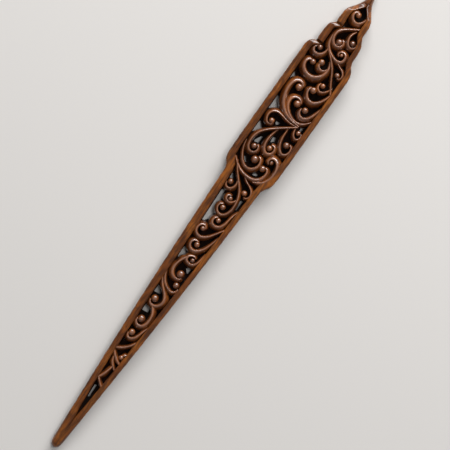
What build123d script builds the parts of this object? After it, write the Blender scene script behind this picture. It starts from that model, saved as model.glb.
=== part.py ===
"""Carved hair pin: one blank of hardwood, pierced and carved as a frame filled with scrolls.

Row frame, in millimetres: the pin lies flat on its back. +Y runs along it from the point to the
finial, +X is to the right seen from above, +Z is up out of the carved face. The origin is the centre
of the bounding box at the back face. Every carved member is its own solid. Members meet face to
face: each one is trimmed by the frame and by the members made before it.
"""

import math
import os

from build123d import *

# ---- Driving dimensions -------------------------------------------------------------------------
PIN_LENGTH = 180.0
HALF_LENGTH = PIN_LENGTH / 2
BLANK_THICKNESS = 4.8
POINT_THICKNESS = 3.4
FINIAL_THICKNESS = 2.8
POINT_TAPER_START_Y = -40.0
FINIAL_TAPER_START_Y = 80.0

GROUND_THICKNESS = 1.2     # the thin ground left at the back of the carving, that the scrolls stand on
NECK_Y = 16.3              # the ground is one member above here and another below
PIERCING_ROUNDING = 0.2
RAIL_EDGE_CHAMFER = 0.5    # the frame's top edges are broken by this much
SCROLL_SINK = 0.4          # how far the strands stay below the top of the frame
BEAD_SINK = 0.2            # and the beads
WINDOW_TOP_Y = 83.1        # the pierced window runs from under the finial
WINDOW_FOOT_Y = -78.0      # down to the solid point
WINDOW_MIDDLE_X = 0.2      # where its two sides meet, at both ends
PAST_SIDE = 10.0           # cutting shapes reach this far to both sides, past the widest part of the pin
PAST_END = 1.0             # and this far past the end of what they cut

# ---- Outline of the blank: half its width at stations along it ------------------------------------
NOSE = [(-88.2, 1.7), (-90.0, 0.0)]
BLADE_SIDE = [(-88.2, 1.7), (-76.0, 2.5), (-58.0, 3.65), (-32.0, 5.1), (-8.0, 6.15), (15.2, 6.95)]
LOWER_SHOULDER = [(15.2, 6.95), (16.6, 7.6), (17.8, 8.55), (19.2, 8.95)]
HEAD_FOOT = [(19.2, 8.95), (22.5, 9.15), (28.0, 9.2)]
HEAD_SIDE = [(28.0, 9.2), (61.8, 9.2)]
UPPER_SHOULDER = [(61.8, 9.2), (63.5, 8.8), (64.9, 7.6), (66.2, 7.0)]
TIER_SIDE = [(66.2, 7.0), (70.2, 6.8)]
CREST_SHOULDER = [(70.2, 6.8), (72.4, 6.2), (73.5, 5.35), (74.6, 5.05)]
OGEE = [(74.6, 5.05), (78.0, 4.95), (80.4, 4.3), (82.4, 2.9), (84.4, 1.65), (87.0, 0.95), (90.0, 0.0)]
STRETCHES = [
    BLADE_SIDE, LOWER_SHOULDER, HEAD_FOOT, HEAD_SIDE, UPPER_SHOULDER, TIER_SIDE, CREST_SHOULDER, OGEE,
]

# ---- Outline of the pierced window: its two sides at the same kind of stations -------------------
WINDOW_RIGHT = [
    [(0.2, -78.0), (0.5, -75.0), (1.2, -66.0), (2.3, -48.0), (3.4, -27.0), (4.2, -8.0), (4.9, 12.0)],
    [(4.9, 12.0), (5.0, 15.8), (5.4, 17.4), (6.6, 19.8), (7.1, 23.0)],
    [(7.1, 23.0), (7.2, 62.0)],
    [(7.2, 62.0), (6.9, 63.1), (5.4, 64.8), (5.2, 66.0)],
    [(5.2, 66.0), (5.1, 71.3)],
    [(5.1, 71.3), (4.7, 72.4), (3.3, 73.5), (3.05, 74.8)],
    [(3.05, 74.8), (3.05, 78.8), (2.3, 80.7), (0.2, 83.1)],
]
WINDOW_LEFT = [
    [(0.2, -78.0), (-0.4, -75.0), (-1.2, -65.0), (-2.2, -47.0), (-2.9, -25.0), (-3.6, -3.0), (-4.3, 14.0)],
    [(-4.3, 14.0), (-4.6, 17.4), (-5.9, 19.2), (-6.7, 20.6), (-6.95, 24.0)],
    [(-6.95, 24.0), (-7.0, 63.2)],
    [(-7.0, 63.2), (-6.7, 64.0), (-5.5, 64.4), (-4.8, 65.0), (-4.6, 66.4)],
    [(-4.6, 66.4), (-4.55, 71.8)],
    [(-4.55, 71.8), (-4.2, 72.7), (-2.9, 73.1), (-2.5, 73.8), (-2.7, 75.4)],
    [(-2.7, 75.4), (-2.8, 78.6), (-2.0, 80.9), (0.2, 83.1)],
]

# ---- Piercings: where the ground is cut right through ----------------------------------------------
PIERCINGS = [
    [(-2.55, 74.8), (-0.9, 74.4), (-2.4, 73.3)],
    [(-6.9, 54.0), (-5.2, 52.1), (-6.9, 50.8)],
    [(-6.9, 44.3), (-6.2, 43.9), (-4.1, 40.9), (-4.6, 40.2), (-6.9, 38.9)],
    [(-6.9, 34.2), (-6.2, 34.1), (-4.5, 32.4), (-5.6, 31.0), (-6.9, 29.7)],
    [(-2.7, 30.5), (-3.3, 30.3), (-4.4, 28.2), (-4.3, 27.5), (-2.8, 27.9)],
    [(-0.1, 32.2), (0.8, 32.6), (1.3, 31.2), (0.1, 30.2)],
    [(-2.4, 37.1), (-1.0, 37.2), (-0.8, 36.6), (-1.8, 35.8)],
    [(-3.9, 22.4), (-2.2, 20.6), (-3.1, 20.4), (-4.2, 21.6)],
    [(1.2, 18.3), (2.0, 19.5), (3.2, 19.5), (2.8, 18.6)],
    [(-4.1, 15.9), (-2.6, 13.6), (-4.0, 13.5)],
    [(-3.8, 9.3), (-2.8, 9.2), (-2.1, 6.4), (-2.6, 4.2), (-1.4, 1.2), (-1.6, -1.0), (-2.6, -2.4), (-3.6, -2.7)],
    [(-3.3, -12.8), (-2.6, -13.0), (-1.3, -14.3), (-1.7, -15.6), (-2.5, -16.8), (-3.2, -16.8)],
    [(-2.7, -27.8), (-2.1, -27.9), (-0.2, -30.1), (-2.6, -30.5)],
    [(-2.4, -34.5), (-1.4, -34.7), (-0.5, -35.6), (-0.1, -37.3), (-2.3, -37.6)],
    [(-1.8, -47.9), (-1.1, -48.1), (-1.2, -48.9), (-1.6, -48.9)],
    [(5.6, 40.3), (6.4, 40.2), (6.4, 38.5), (5.6, 38.5)],
    [(5.8, 27.8), (6.6, 28.0), (6.5, 26.5), (6.0, 26.9)],
    [(3.3, 9.6), (4.1, 9.5), (3.9, 5.2), (3.4, 6.4)],
    [(1.6, -18.6), (2.4, -17.5), (3.2, -17.5), (3.1, -19.9), (2.5, -19.6)],
    [(-0.75, -65.9), (0.0, -65.7), (0.05, -70.0), (-0.35, -71.3)],
]

# ---- Scrolls ------------------------------------------------------------------------------------
# Each is drawn as a centre line from its root to its curl, with the width of the carved strand at
# root, belly and end, and the bead that it curls round: (x, y, radius), or None for a plain bar.
CREST_SCROLLS = {
    "finial_scroll": (
        [(2.75, 80.3), (2.4, 79.0), (1.9, 77.8), (0.7, 76.95), (-0.7, 77.15), (-1.7, 78.2), (-1.85, 79.5),
         (-1.2, 80.4), (-0.2, 80.7)],
        (1.1, 1.7, 1.1), (-0.3, 79.7, 0.95)),
    "crest_volute": (
        [(3.1, 76.2), (1.5, 75.2), (-0.2, 74.1), (-1.9, 72.8), (-2.9, 71.3), (-2.9, 69.5), (-2.2, 68.0),
         (-0.7, 67.2), (0.8, 67.8), (1.2, 69.2), (0.6, 70.2), (-0.2, 70.3)],
        (1.2, 1.8, 1.0), (-0.35, 69.0, 1.15)),
    "crest_teardrop": (
        [(2.4, 75.0), (1.6, 73.5), (1.4, 72.0), (1.9, 70.4), (3.2, 69.3), (4.5, 69.7), (5.0, 70.9),
         (4.5, 71.8)],
        (1.0, 1.5, 0.9), (3.4, 71.1, 0.95)),
    "crest_vine": (
        [(-3.4, 71.0), (-3.35, 68.6), (-2.9, 66.8), (-1.9, 65.4), (-0.5, 64.4), (1.1, 63.7), (2.8, 63.4),
         (4.0, 64.0), (4.4, 65.3), (4.0, 66.6), (2.8, 67.2), (1.7, 66.6), (1.6, 65.6), (2.4, 65.2)],
        (1.5, 1.8, 0.8), (2.75, 66.0, 0.6)),
    "crossing_stem": (
        [(-1.9, 65.3), (-0.4, 63.9), (1.0, 62.6), (2.3, 61.2), (3.4, 59.6), (4.4, 57.8), (5.5, 55.9),
         (6.6, 54.3), (7.4, 53.0)],
        (1.0, 1.3, 1.3), None),
}
HEART_SCROLLS = {
    "left_shoulder_curl": (
        [(-2.1, 65.3), (-2.1, 64.1), (-2.7, 62.7), (-3.9, 61.8), (-5.2, 61.8), (-6.1, 62.7), (-6.0, 63.9),
         (-5.1, 64.7)],
        (1.0, 1.7, 0.9), (-4.45, 64.2, 0.9)),
    "heart_volute": (
        [(0.9, 62.2), (1.8, 60.5), (2.0, 58.7), (1.4, 56.9), (0.1, 55.3), (-1.9, 54.6), (-4.1, 55.1),
         (-5.6, 56.7), (-5.8, 58.4), (-4.9, 59.5), (-3.9, 59.6)],
        (1.2, 2.3, 1.4), (-3.7, 59.1, 1.0)),
    "heart_curl": (
        [(1.9, 60.4), (1.5, 59.0), (0.4, 58.1), (-0.9, 58.3), (-1.6, 59.3), (-1.5, 60.3)],
        (0.9, 1.5, 1.5), (-1.2, 60.5, 1.05)),
    "right_shoulder_curl": (
        [(3.2, 63.1), (4.4, 62.5), (5.7, 62.0), (6.7, 61.0), (6.9, 59.8), (6.3, 59.0), (5.4, 58.9)],
        (1.2, 1.2, 0.9), (5.3, 59.9, 0.9)),
    "hook_curl": (
        [(6.5, 55.4), (5.8, 54.0), (4.9, 52.8), (3.7, 52.3), (2.6, 52.9), (2.2, 54.1), (2.6, 55.2)],
        (0.9, 1.2, 0.8), (3.5, 54.5, 0.85)),
    "upper_cradle": (
        [(7.2, 53.4), (6.75, 51.6), (5.9, 49.8), (4.7, 48.4), (3.1, 47.8), (1.5, 48.4), (0.5, 49.9),
         (0.35, 51.5), (1.0, 52.4)],
        (1.1, 1.9, 1.1), (1.75, 51.6, 1.15)),
    "lower_cradle": (
        [(7.4, 48.2), (6.9, 46.2), (6.3, 44.3), (5.4, 42.8), (4.0, 42.0), (2.6, 42.5), (1.9, 43.8),
         (2.1, 45.0)],
        (1.0, 1.8, 1.0), (3.4, 44.8, 1.05)),
    "tall_volute": (
        [(4.8, 39.4), (2.2, 39.6), (-0.2, 40.1), (-2.2, 41.2), (-3.7, 42.7), (-4.8, 44.8), (-5.4, 47.2),
         (-5.4, 49.4), (-4.7, 51.1), (-3.3, 51.9), (-1.9, 51.4), (-1.4, 50.3)],
        (1.0, 2.5, 1.2), (-2.5, 49.9, 1.25)),
    "inner_volute": (
        [(7.3, 43.0), (6.0, 41.2), (4.4, 40.1), (2.4, 39.9), (0.4, 40.6), (-1.2, 41.8), (-2.3, 43.3),
         (-2.7, 45.0), (-2.0, 46.5), (-0.6, 47.0), (0.8, 46.5), (1.3, 45.4)],
        (0.9, 1.9, 1.1), (0.1, 45.2, 1.25)),
}
FAN_SCROLLS = {
    "fan_spine": (
        [(4.7, 39.0), (2.6, 37.5), (0.4, 35.8), (-1.8, 34.0), (-3.7, 32.2), (-4.9, 30.5), (-5.5, 28.4),
         (-5.4, 26.3), (-4.8, 24.7), (-3.5, 24.0), (-2.2, 24.5), (-1.7, 25.9), (-2.2, 27.0),
         (-3.0, 27.2)],
        (1.1, 1.6, 1.0), (-3.4, 26.2, 0.95)),
    "fan_back_curl": (
        [(4.2, 38.9), (2.0, 38.7), (0.0, 38.9), (-1.8, 39.4), (-3.6, 39.6), (-5.0, 38.9), (-5.7, 37.4),
         (-5.4, 35.8), (-4.4, 34.7), (-3.2, 34.9), (-2.6, 35.9)],
        (0.9, 1.5, 0.9), (-3.5, 36.1, 0.95)),
    "fan_middle_curl": (
        [(0.1, 35.6), (-0.6, 33.6), (-1.0, 31.6), (-1.1, 29.6), (-0.6, 27.6), (0.8, 26.3), (2.3, 26.7),
         (2.9, 28.2), (2.4, 29.6), (1.4, 29.9), (0.8, 29.5)],
        (0.9, 1.7, 1.0), (1.1, 28.4, 0.95)),
    "fan_right_curl": (
        [(2.3, 37.4), (2.4, 35.2), (2.5, 33.2), (3.0, 31.4), (4.0, 29.7), (5.4, 28.9), (6.7, 29.6),
         (7.1, 31.2), (6.7, 32.6), (5.7, 33.2)],
        (0.9, 1.5, 1.0), (5.0, 32.2, 1.1)),
    "fan_knot_curl": (
        [(4.2, 39.3), (4.3, 37.5), (4.9, 36.0), (6.1, 35.3), (7.1, 36.0), (7.2, 37.2), (6.8, 38.1)],
        (1.0, 1.2, 0.8), (5.9, 37.6, 0.85)),
}
BASKET_SCROLLS = {
    "basket_volute": (
        [(-6.6, 26.6), (-6.2, 24.4), (-5.4, 22.5), (-4.2, 20.7), (-2.7, 19.4), (-1.0, 19.0), (0.6, 19.8),
         (1.5, 21.4), (1.4, 23.0), (0.6, 24.2), (-0.4, 24.4)],
        (0.9, 1.5, 1.3), (-0.7, 22.8, 1.3)),
    "basket_curl": (
        [(-6.5, 20.3), (-5.1, 19.0), (-3.6, 17.9), (-1.8, 17.2), (0.2, 16.8), (2.2, 16.9), (3.8, 17.7),
         (4.8, 19.2), (5.1, 21.0), (4.5, 22.4), (3.4, 22.7)],
        (1.3, 1.8, 1.2), (3.1, 21.7, 1.1)),
    "basket_handle": (
        [(2.8, 16.4), (4.9, 17.2), (6.4, 18.8), (7.1, 21.0), (7.1, 23.2), (6.6, 25.1), (5.5, 26.3),
         (4.1, 26.5), (3.1, 25.5), (3.2, 24.3), (4.0, 23.7)],
        (1.5, 2.1, 1.0), (4.3, 24.9, 0.8)),
    "neck_curl_right": (
        [(-0.9, 17.2), (0.9, 15.6), (2.4, 14.9), (3.9, 14.2), (4.9, 12.9), (4.9, 11.4), (4.1, 10.6),
         (3.1, 10.7)],
        (0.9, 1.2, 0.9), (2.9, 11.9, 0.95)),
    "neck_vine": (
        [(-5.2, 19.6), (-3.9, 17.6), (-2.5, 15.8), (-1.0, 14.2), (0.6, 12.4), (1.8, 10.4), (2.5, 8.2),
         (2.7, 5.8), (2.3, 3.6), (1.2, 2.2), (-0.2, 1.9), (-1.5, 2.8), (-1.9, 4.2), (-1.3, 5.3),
         (-0.3, 5.5)],
        (1.1, 1.5, 1.0), (-0.15, 4.3, 0.95)),
    "neck_curl_left": (
        [(-1.6, 15.0), (-0.9, 13.4), (-0.9, 11.8), (-1.7, 10.6), (-2.9, 10.3), (-3.9, 11.1),
         (-4.0, 12.2)],
        (0.9, 1.3, 0.9), (-2.95, 12.6, 0.9)),
    "vine_curl": (
        [(2.4, 9.2), (1.7, 7.6), (0.5, 6.7), (-0.8, 7.0), (-1.3, 8.1), (-0.7, 9.0), (0.3, 9.0)],
        (0.8, 1.3, 0.9), (0.15, 8.0, 0.8)),
}
BLADE_SCROLLS = {
    "blade_curl_1": (
        [(4.9, 5.8), (4.1, 3.8), (3.8, 1.7), (3.5, -0.2), (2.6, -1.7), (1.1, -2.3), (-0.2, -1.8),
         (-0.6, -0.5), (-0.1, 0.6), (0.9, 0.9)],
        (1.1, 1.7, 1.0), (1.15, 0.0, 0.85)),
    "blade_curl_2": (
        [(4.7, -1.4), (3.4, -3.4), (2.2, -5.3), (0.7, -7.0), (-1.1, -7.7), (-2.7, -7.0), (-3.3, -5.5),
         (-2.9, -4.2), (-1.8, -3.5), (-0.8, -3.9), (-0.5, -4.9)],
        (1.2, 1.6, 1.0), (-1.45, -4.9, 0.85)),
    "blade_curl_3": (
        [(4.5, -4.5), (3.9, -7.0), (3.2, -9.2), (2.2, -11.1), (0.8, -12.4), (-0.9, -12.5), (-2.1, -11.3),
         (-2.0, -9.9), (-1.0, -9.1), (0.3, -9.2)],
        (1.1, 1.8, 1.0), (0.0, -10.25, 0.95)),
    "blade_curl_4": (
        [(4.2, -11.2), (3.9, -13.4), (3.6, -15.2), (2.8, -16.5), (1.3, -16.8), (-0.1, -16.1),
         (-0.2, -14.9), (0.8, -14.0), (2.0, -13.8), (2.6, -14.5)],
        (1.1, 1.6, 0.9), (1.8, -15.2, 0.75)),
    "blade_curl_5": (
        [(0.0, -14.8), (-1.1, -16.4), (-1.7, -18.2), (-2.1, -20.1), (-1.6, -21.8), (-0.4, -22.9),
         (1.1, -23.1), (2.2, -22.5), (2.4, -21.8)],
        (1.6, 2.0, 1.2), (1.25, -21.0, 1.3)),
    "blade_curl_6": (
        [(-3.4, -21.8), (-2.6, -24.2), (-1.3, -26.0), (0.4, -27.1), (2.1, -27.5), (3.3, -26.7),
         (3.4, -25.4)],
        (1.1, 1.6, 1.0), (2.2, -24.8, 1.05)),
    "blade_curl_7": (
        [(-3.1, -24.8), (-1.9, -26.7), (-0.3, -28.2), (1.2, -29.6), (2.0, -31.3), (1.7, -33.0),
         (0.5, -34.2), (-1.1, -34.4), (-2.1, -33.5), (-2.2, -32.7)],
        (1.3, 2.0, 1.1), (-1.0, -32.1, 1.25)),
    "blade_curl_8": (
        [(-0.6, -34.2), (0.9, -35.7), (1.6, -37.6), (1.75, -39.5), (1.3, -41.2), (0.1, -42.3),
         (-1.3, -42.1), (-2.1, -40.9), (-1.8, -39.8)],
        (1.5, 2.0, 1.1), (-0.8, -39.9, 1.3)),
    "blade_curl_9": (
        [(2.8, -41.2), (2.0, -43.4), (1.6, -45.2), (0.8, -46.7), (-0.5, -47.3), (-1.6, -46.6),
         (-1.8, -45.4)],
        (1.2, 1.7, 1.1), (-0.8, -45.2, 1.15)),
    "blade_curl_10": (
        [(2.7, -52.1), (1.6, -52.7), (0.9, -53.5)],
        (1.2, 1.4, 1.2), (1.25, -53.9, 0.85)),
    "upper_bar": (
        [(2.9, -46.4), (1.6, -48.9), (0.3, -50.4), (-1.1, -51.5), (-2.7, -52.2)],
        (1.3, 1.6, 1.7), None),
    "middle_bar": (
        [(-2.3, -52.7), (-0.9, -54.3), (0.6, -55.4), (2.4, -56.3)],
        (1.7, 1.9, 1.5), None),
    "lower_bar": (
        [(-1.1, -54.8), (-0.5, -56.4), (0.6, -57.6), (2.1, -58.8)],
        (1.2, 1.5, 1.3), None),
    "slot_stem": (
        [(0.6, -57.5), (0.25, -58.9), (-0.1, -60.5), (-0.7, -62.1), (-1.7, -63.6)],
        (1.5, 1.9, 1.5), None),
    "slot_bar": (
        [(-1.5, -62.6), (-0.5, -63.7), (0.7, -64.7), (1.9, -65.6)],
        (1.4, 1.5, 1.6), None),
}
SCROLLS = CREST_SCROLLS | HEART_SCROLLS | FAN_SCROLLS | BASKET_SCROLLS | BLADE_SCROLLS


# ---- Flat outlines ------------------------------------------------------------------------------
def chain(stretches, side=1):
    """One curve per stretch, straight where the stretch has only two stations."""
    return [
        Line((side * s[0][0], s[0][1]), (side * s[1][0], s[1][1])) if len(s) == 2
        else Spline(*[(side * x, y) for x, y in s])
        for s in stretches
    ]


def half_widths(stations):
    """Stations (y, half width) turned into points (half width, y)."""
    return [(half, y) for y, half in stations]


def blank_face():
    """The outline of the whole pin, symmetrical about the Y axis."""
    sides = [half_widths(stretch) for stretch in STRETCHES]
    nose_half = NOSE[0][1]
    nose = ThreePointArc((-nose_half, NOSE[0][0]), (0, NOSE[1][0]), (nose_half, NOSE[0][0]))
    return make_face(chain(sides) + chain(sides, -1) + [nose])


def window_face():
    """The opening that the scrolls fill."""
    return make_face(chain(WINDOW_RIGHT) + chain(WINDOW_LEFT))


def piercing_face(corners):
    """A cut through the ground, with its corners eased."""
    outline = make_face(Polyline(*corners, close=True))
    return fillet(outline.vertices(), PIERCING_ROUNDING)


def band(y_min, y_max, x_min=-PAST_SIDE, x_max=PAST_SIDE):
    """The part of the plan between two stations, and between two sides where they are given."""
    centre = ((x_min + x_max) / 2, (y_min + y_max) / 2)
    return Pos(*centre) * Rectangle(x_max - x_min, y_max - y_min)


def strand_width(t, widths):
    """Width along a strand: it swells from the root to the belly and narrows to its end."""
    root, belly, end = widths
    from_end = root if t < 0.5 else end
    return from_end + (belly - from_end) * math.sin(math.pi * t)


def strand_face(points, widths):
    """A strand seen from above: its centre line thickened to the strand's width, with a round end."""
    centre_line = Spline(*points)
    steps = 2 * len(points)
    left, right = [], []
    for i in range(steps + 1):
        t = i / steps
        ahead = centre_line % t
        across = Vector(-ahead.Y, ahead.X) * (strand_width(t, widths) / 2)
        left.append(centre_line @ t + across)
        right.append(centre_line @ t - across)
    tip = centre_line @ 1 + (centre_line % 1) * (widths[2] / 2)
    return make_face([
        Spline(*left),
        ThreePointArc(left[-1], tip, right[-1]),
        Spline(*right[::-1]),
        Line(right[0], left[0]),
    ])


def largest(shape, kind):
    """The biggest of the separate pieces that trimming leaves."""
    pieces = shape.faces() if kind == "face" else shape.solids()
    return max(pieces, key=lambda piece: piece.area if kind == "face" else piece.volume)


# ---- Solids -------------------------------------------------------------------------------------
def envelope():
    """Side view of the blank carried across it: full thickness along the middle, thinner at both ends."""
    side = Polyline(
        (0, -HALF_LENGTH - PAST_END, 0),
        (0, HALF_LENGTH + PAST_END, 0),
        (0, HALF_LENGTH + PAST_END, FINIAL_THICKNESS),
        (0, FINIAL_TAPER_START_Y, BLANK_THICKNESS),
        (0, POINT_TAPER_START_Y, BLANK_THICKNESS),
        (0, -HALF_LENGTH - PAST_END, POINT_THICKNESS),
        close=True,
    )
    return extrude(make_face(side), amount=PAST_SIDE, dir=(1, 0, 0), both=True)


def bead(x, y, radius):
    """The round bead in the eye of a curl: a post on the ground with a domed top."""
    dome_foot = BLANK_THICKNESS - BEAD_SINK - radius
    middle = (GROUND_THICKNESS + dome_foot) / 2
    post = Pos(x, y, middle) * Cylinder(radius, dome_foot - GROUND_THICKNESS)
    return post + Pos(x, y, dome_foot) * Sphere(radius)


def save(name, solid):
    """Write one member to its own file, under its own name."""
    solid.label = name
    export_step(solid, f"parts/{name}.step")


os.makedirs("parts", exist_ok=True)

blank = blank_face()
window = window_face()
frame = blank - window
side_view = envelope()

frame_members = {
    "finial": blank & band(WINDOW_TOP_Y, HALF_LENGTH + PAST_END),
    "point": blank & band(-HALF_LENGTH - PAST_END, WINDOW_FOOT_Y),
    "left_rail": frame & band(WINDOW_FOOT_Y, WINDOW_TOP_Y, x_max=WINDOW_MIDDLE_X),
    "right_rail": frame & band(WINDOW_FOOT_Y, WINDOW_TOP_Y, x_min=WINDOW_MIDDLE_X),
}
for name, face in frame_members.items():
    member = extrude(largest(face, "face"), BLANK_THICKNESS)
    if name.endswith("rail"):
        member = chamfer(member.edges().group_by(Axis.Z)[-1], RAIL_EDGE_CHAMFER)
    save(name, largest(member & side_view, "solid"))

ground = window
for corners in PIERCINGS:
    ground = ground - piercing_face(corners)
save("head_ground", extrude(ground & band(NECK_Y, WINDOW_TOP_Y + PAST_END), GROUND_THICKNESS))
save("blade_ground", extrude(ground & band(WINDOW_FOOT_Y - PAST_END, NECK_Y), GROUND_THICKNESS))

on_ground = Pos(0, 0, GROUND_THICKNESS)
strand_height = BLANK_THICKNESS - SCROLL_SINK - GROUND_THICKNESS
bead_height = BLANK_THICKNESS - GROUND_THICKNESS
taken = frame
for name, (points, widths, eye) in SCROLLS.items():
    outline = strand_face(points, widths)
    footprint = outline if eye is None else outline + Pos(eye[0], eye[1]) * Circle(eye[2])
    region = largest(footprint - taken, "face")
    solid = on_ground * extrude(region & outline, strand_height)
    if eye is not None:
        solid = solid + (bead(*eye) & (on_ground * extrude(region, bead_height)))
    save(name, largest(solid & side_view, "solid"))
    taken = taken + region
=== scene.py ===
"""A carved hair pin: one blank of hardwood, pierced and carved as a frame full of scrolls, then stained
and lacquered. Shapes are worked out in millimetres and put into meshes in metres. +Y runs from the point
to the finial, +X is to the right seen from above, and +Z is up out of the carved face."""

import math

import bpy
import numpy as np
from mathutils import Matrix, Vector


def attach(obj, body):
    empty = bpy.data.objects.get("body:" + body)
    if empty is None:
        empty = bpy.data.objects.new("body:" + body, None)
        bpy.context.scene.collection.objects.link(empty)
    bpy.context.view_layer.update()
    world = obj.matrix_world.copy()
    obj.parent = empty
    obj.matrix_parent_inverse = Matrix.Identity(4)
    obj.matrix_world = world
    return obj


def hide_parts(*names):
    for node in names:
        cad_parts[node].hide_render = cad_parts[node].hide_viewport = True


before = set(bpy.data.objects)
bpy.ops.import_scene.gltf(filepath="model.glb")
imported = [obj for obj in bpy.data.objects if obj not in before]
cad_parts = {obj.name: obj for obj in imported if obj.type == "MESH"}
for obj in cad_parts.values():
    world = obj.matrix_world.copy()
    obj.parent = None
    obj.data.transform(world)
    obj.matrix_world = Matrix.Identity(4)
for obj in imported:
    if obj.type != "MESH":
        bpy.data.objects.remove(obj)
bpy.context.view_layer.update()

# ---- The two rails ---------------------------------------------------------------------------------
# The long sides of the pin, left standing at the full thickness of the blank. They are sawn to the
# stepped outline, rounded over on top, and notched where each tier of the head steps in. The hardwood
# is stained reddish brown and lacquered; low down it is darker from stain and painted shade, and on
# the crest it is paler from wear and a painted highlight.

MM = 0.001
BLANK_TOP = 4.8
POINT_TAPER_Y, POINT_FALL = -40.0, 1.4 / 51      # the blank thins from here down to the point
FINIAL_TAPER_Y, FINIAL_FALL = 80.0, 2.0 / 11     # and from here up to the finial
CORNER_EASING = 0.9       # every corner of an outline is eased over this length
LOOP_GAP = 0.16           # between the loops along a rail
RAIL_FULLNESS = 3.4       # how square the rounded top is
RAIL_ROUNDING = 0.95      # how deep the rounding reaches
LEAST_WALL = 0.8          # share of the height that stays upright where the blank is thin
BACK_ROUNDING = 0.3
SLIGHT_ROUNDING = 0.1     # height of the corner halfway round the back's edge
LEDGE, LEDGE_TOP = 0.25, 1.05     # foot of a rail's inner side, which runs into the ground
UNEVEN_SIDE, UNEVEN_TOP = 0.045, 0.02
EVEN_PAST_Y = 76.0        # the ends of the rails are kept even, where they meet the solid ends
STEP_SLOPE, STEP_ROLL, STEP_GROOVE = 0.62, 0.25, 0.30


def new_group(name, inputs, outputs):
    """An empty node group with the named sockets, with its input and output nodes."""
    group = bpy.data.node_groups.new(name, "ShaderNodeTree")
    for socket, value in inputs:
        made = group.interface.new_socket(socket, in_out="INPUT", socket_type="NodeSocketFloat")
        made.default_value = value
    for socket in outputs:
        group.interface.new_socket(socket, in_out="OUTPUT", socket_type="NodeSocketFloat")
    return group, group.nodes.new("NodeGroupInput"), group.nodes.new("NodeGroupOutput")


def wire(tree, value, socket):
    """Links value to socket if it is a socket, or else writes it there."""
    if isinstance(value, bpy.types.NodeSocket):
        tree.links.new(value, socket)
    else:
        socket.default_value = value


def sum_of(tree, first, second, operation="ADD"):
    """One arithmetic step on two values, each a socket or a number."""
    node = tree.nodes.new("ShaderNodeMath")
    node.operation = operation
    wire(tree, first, node.inputs[0])
    wire(tree, second, node.inputs[1])
    return node.outputs[0]


def product_of(tree, first, second):
    """Two values multiplied, each a socket or a number."""
    return sum_of(tree, first, second, "MULTIPLY")


def eased(tree, value, low, high, to_low=0.0, to_high=1.0):
    """Value carried from low..high to to_low..to_high along a smooth step."""
    node = tree.nodes.new("ShaderNodeMapRange")
    node.interpolation_type = "SMOOTHSTEP"
    wire(tree, value, node.inputs["Value"])
    for name, limit in zip(("From Min", "From Max", "To Min", "To Max"), (low, high, to_low, to_high)):
        wire(tree, limit, node.inputs[name])
    return node.outputs["Result"]


def blend_of(tree, factor, first, second):
    """The mix of two colours, each a socket or a plain colour."""
    node = tree.nodes.new("ShaderNodeMix")
    node.data_type = "RGBA"
    wire(tree, factor, node.inputs[0])
    wire(tree, first, node.inputs[6])
    wire(tree, second, node.inputs[7])
    return node.outputs[2]


def noise_of(tree, where, scale, along=1.0, detail=2.0, distortion=0.0, shift=0.0):
    """Noise at a position, drawn out along Y: scale is its features per metre across the pin, along is
    that along the pin as a share of it, and the shift picks another part of the same noise."""
    squeeze = tree.nodes.new("ShaderNodeMapping")
    squeeze.inputs["Location"].default_value = (shift, shift, 0.0)
    squeeze.inputs["Scale"].default_value = (scale, scale * along, scale)
    tree.links.new(where, squeeze.inputs["Vector"])
    noise = tree.nodes.new("ShaderNodeTexNoise")
    noise.inputs["Scale"].default_value = 1.0
    noise.inputs["Detail"].default_value = detail
    noise.inputs["Distortion"].default_value = distortion
    tree.links.new(squeeze.outputs["Vector"], noise.inputs["Vector"])
    return noise.outputs["Fac"]


def wood_grain_group():
    """Fibres, pores and blotches of a straight-grained blank: three noises drawn out along the pin by
    nine, seven and two times, the pores cut off high so that only short dashes are left. The tooling
    is an even noise about as coarse as the cuts of a small gouge."""
    tree, _, result = new_group("wood grain", [], ["Fibres", "Pores", "Blotches", "Tooling"])
    where = tree.nodes.new("ShaderNodeTexCoord").outputs["Object"]
    fibres = noise_of(tree, where, 1600.0, along=0.11, detail=4.0, distortion=0.3)
    pores = noise_of(tree, where, 5200.0, along=0.14, detail=1.0)
    blotches = noise_of(tree, where, 300.0, along=0.45, detail=3.0, shift=2.1)
    tree.links.new(fibres, result.inputs["Fibres"])
    tree.links.new(eased(tree, pores, 0.60, 0.72), result.inputs["Pores"])
    tree.links.new(eased(tree, blotches, 0.38, 0.68), result.inputs["Blotches"])
    tree.links.new(noise_of(tree, where, 1700.0), result.inputs["Tooling"])
    return tree


def stain_and_painted_shade_group(edge_waver=0.0014):
    """How dark the wood is made low down: not at all above one height over the back, fully below another.
    This is partly dark stain left in the hollows and partly painted shade on the low, deep-cut parts.
    Noise moves the edge between them up and down, by the waver in metres."""
    tree, given, result = new_group(
        "hollow stain", [("All Below", 0.0012), ("None Above", 0.0040)], ["Stain"])
    where = tree.nodes.new("ShaderNodeTexCoord").outputs["Object"]
    split = tree.nodes.new("ShaderNodeSeparateXYZ")
    tree.links.new(where, split.inputs[0])
    waver = product_of(tree, sum_of(tree, noise_of(tree, where, 700.0), -0.5), edge_waver)
    height = sum_of(tree, split.outputs["Z"], waver)
    # dark below: partly stain, partly painted shade where the deep cuts lie in shade
    stain_and_painted_shade = eased(tree, height, given.outputs["All Below"], given.outputs["None Above"], 1.0, 0.0)
    tree.links.new(stain_and_painted_shade, result.inputs["Stain"])
    return tree


WOOD_GRAIN = wood_grain_group()
STAIN_AND_PAINTED_SHADE = stain_and_painted_shade_group()


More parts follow.
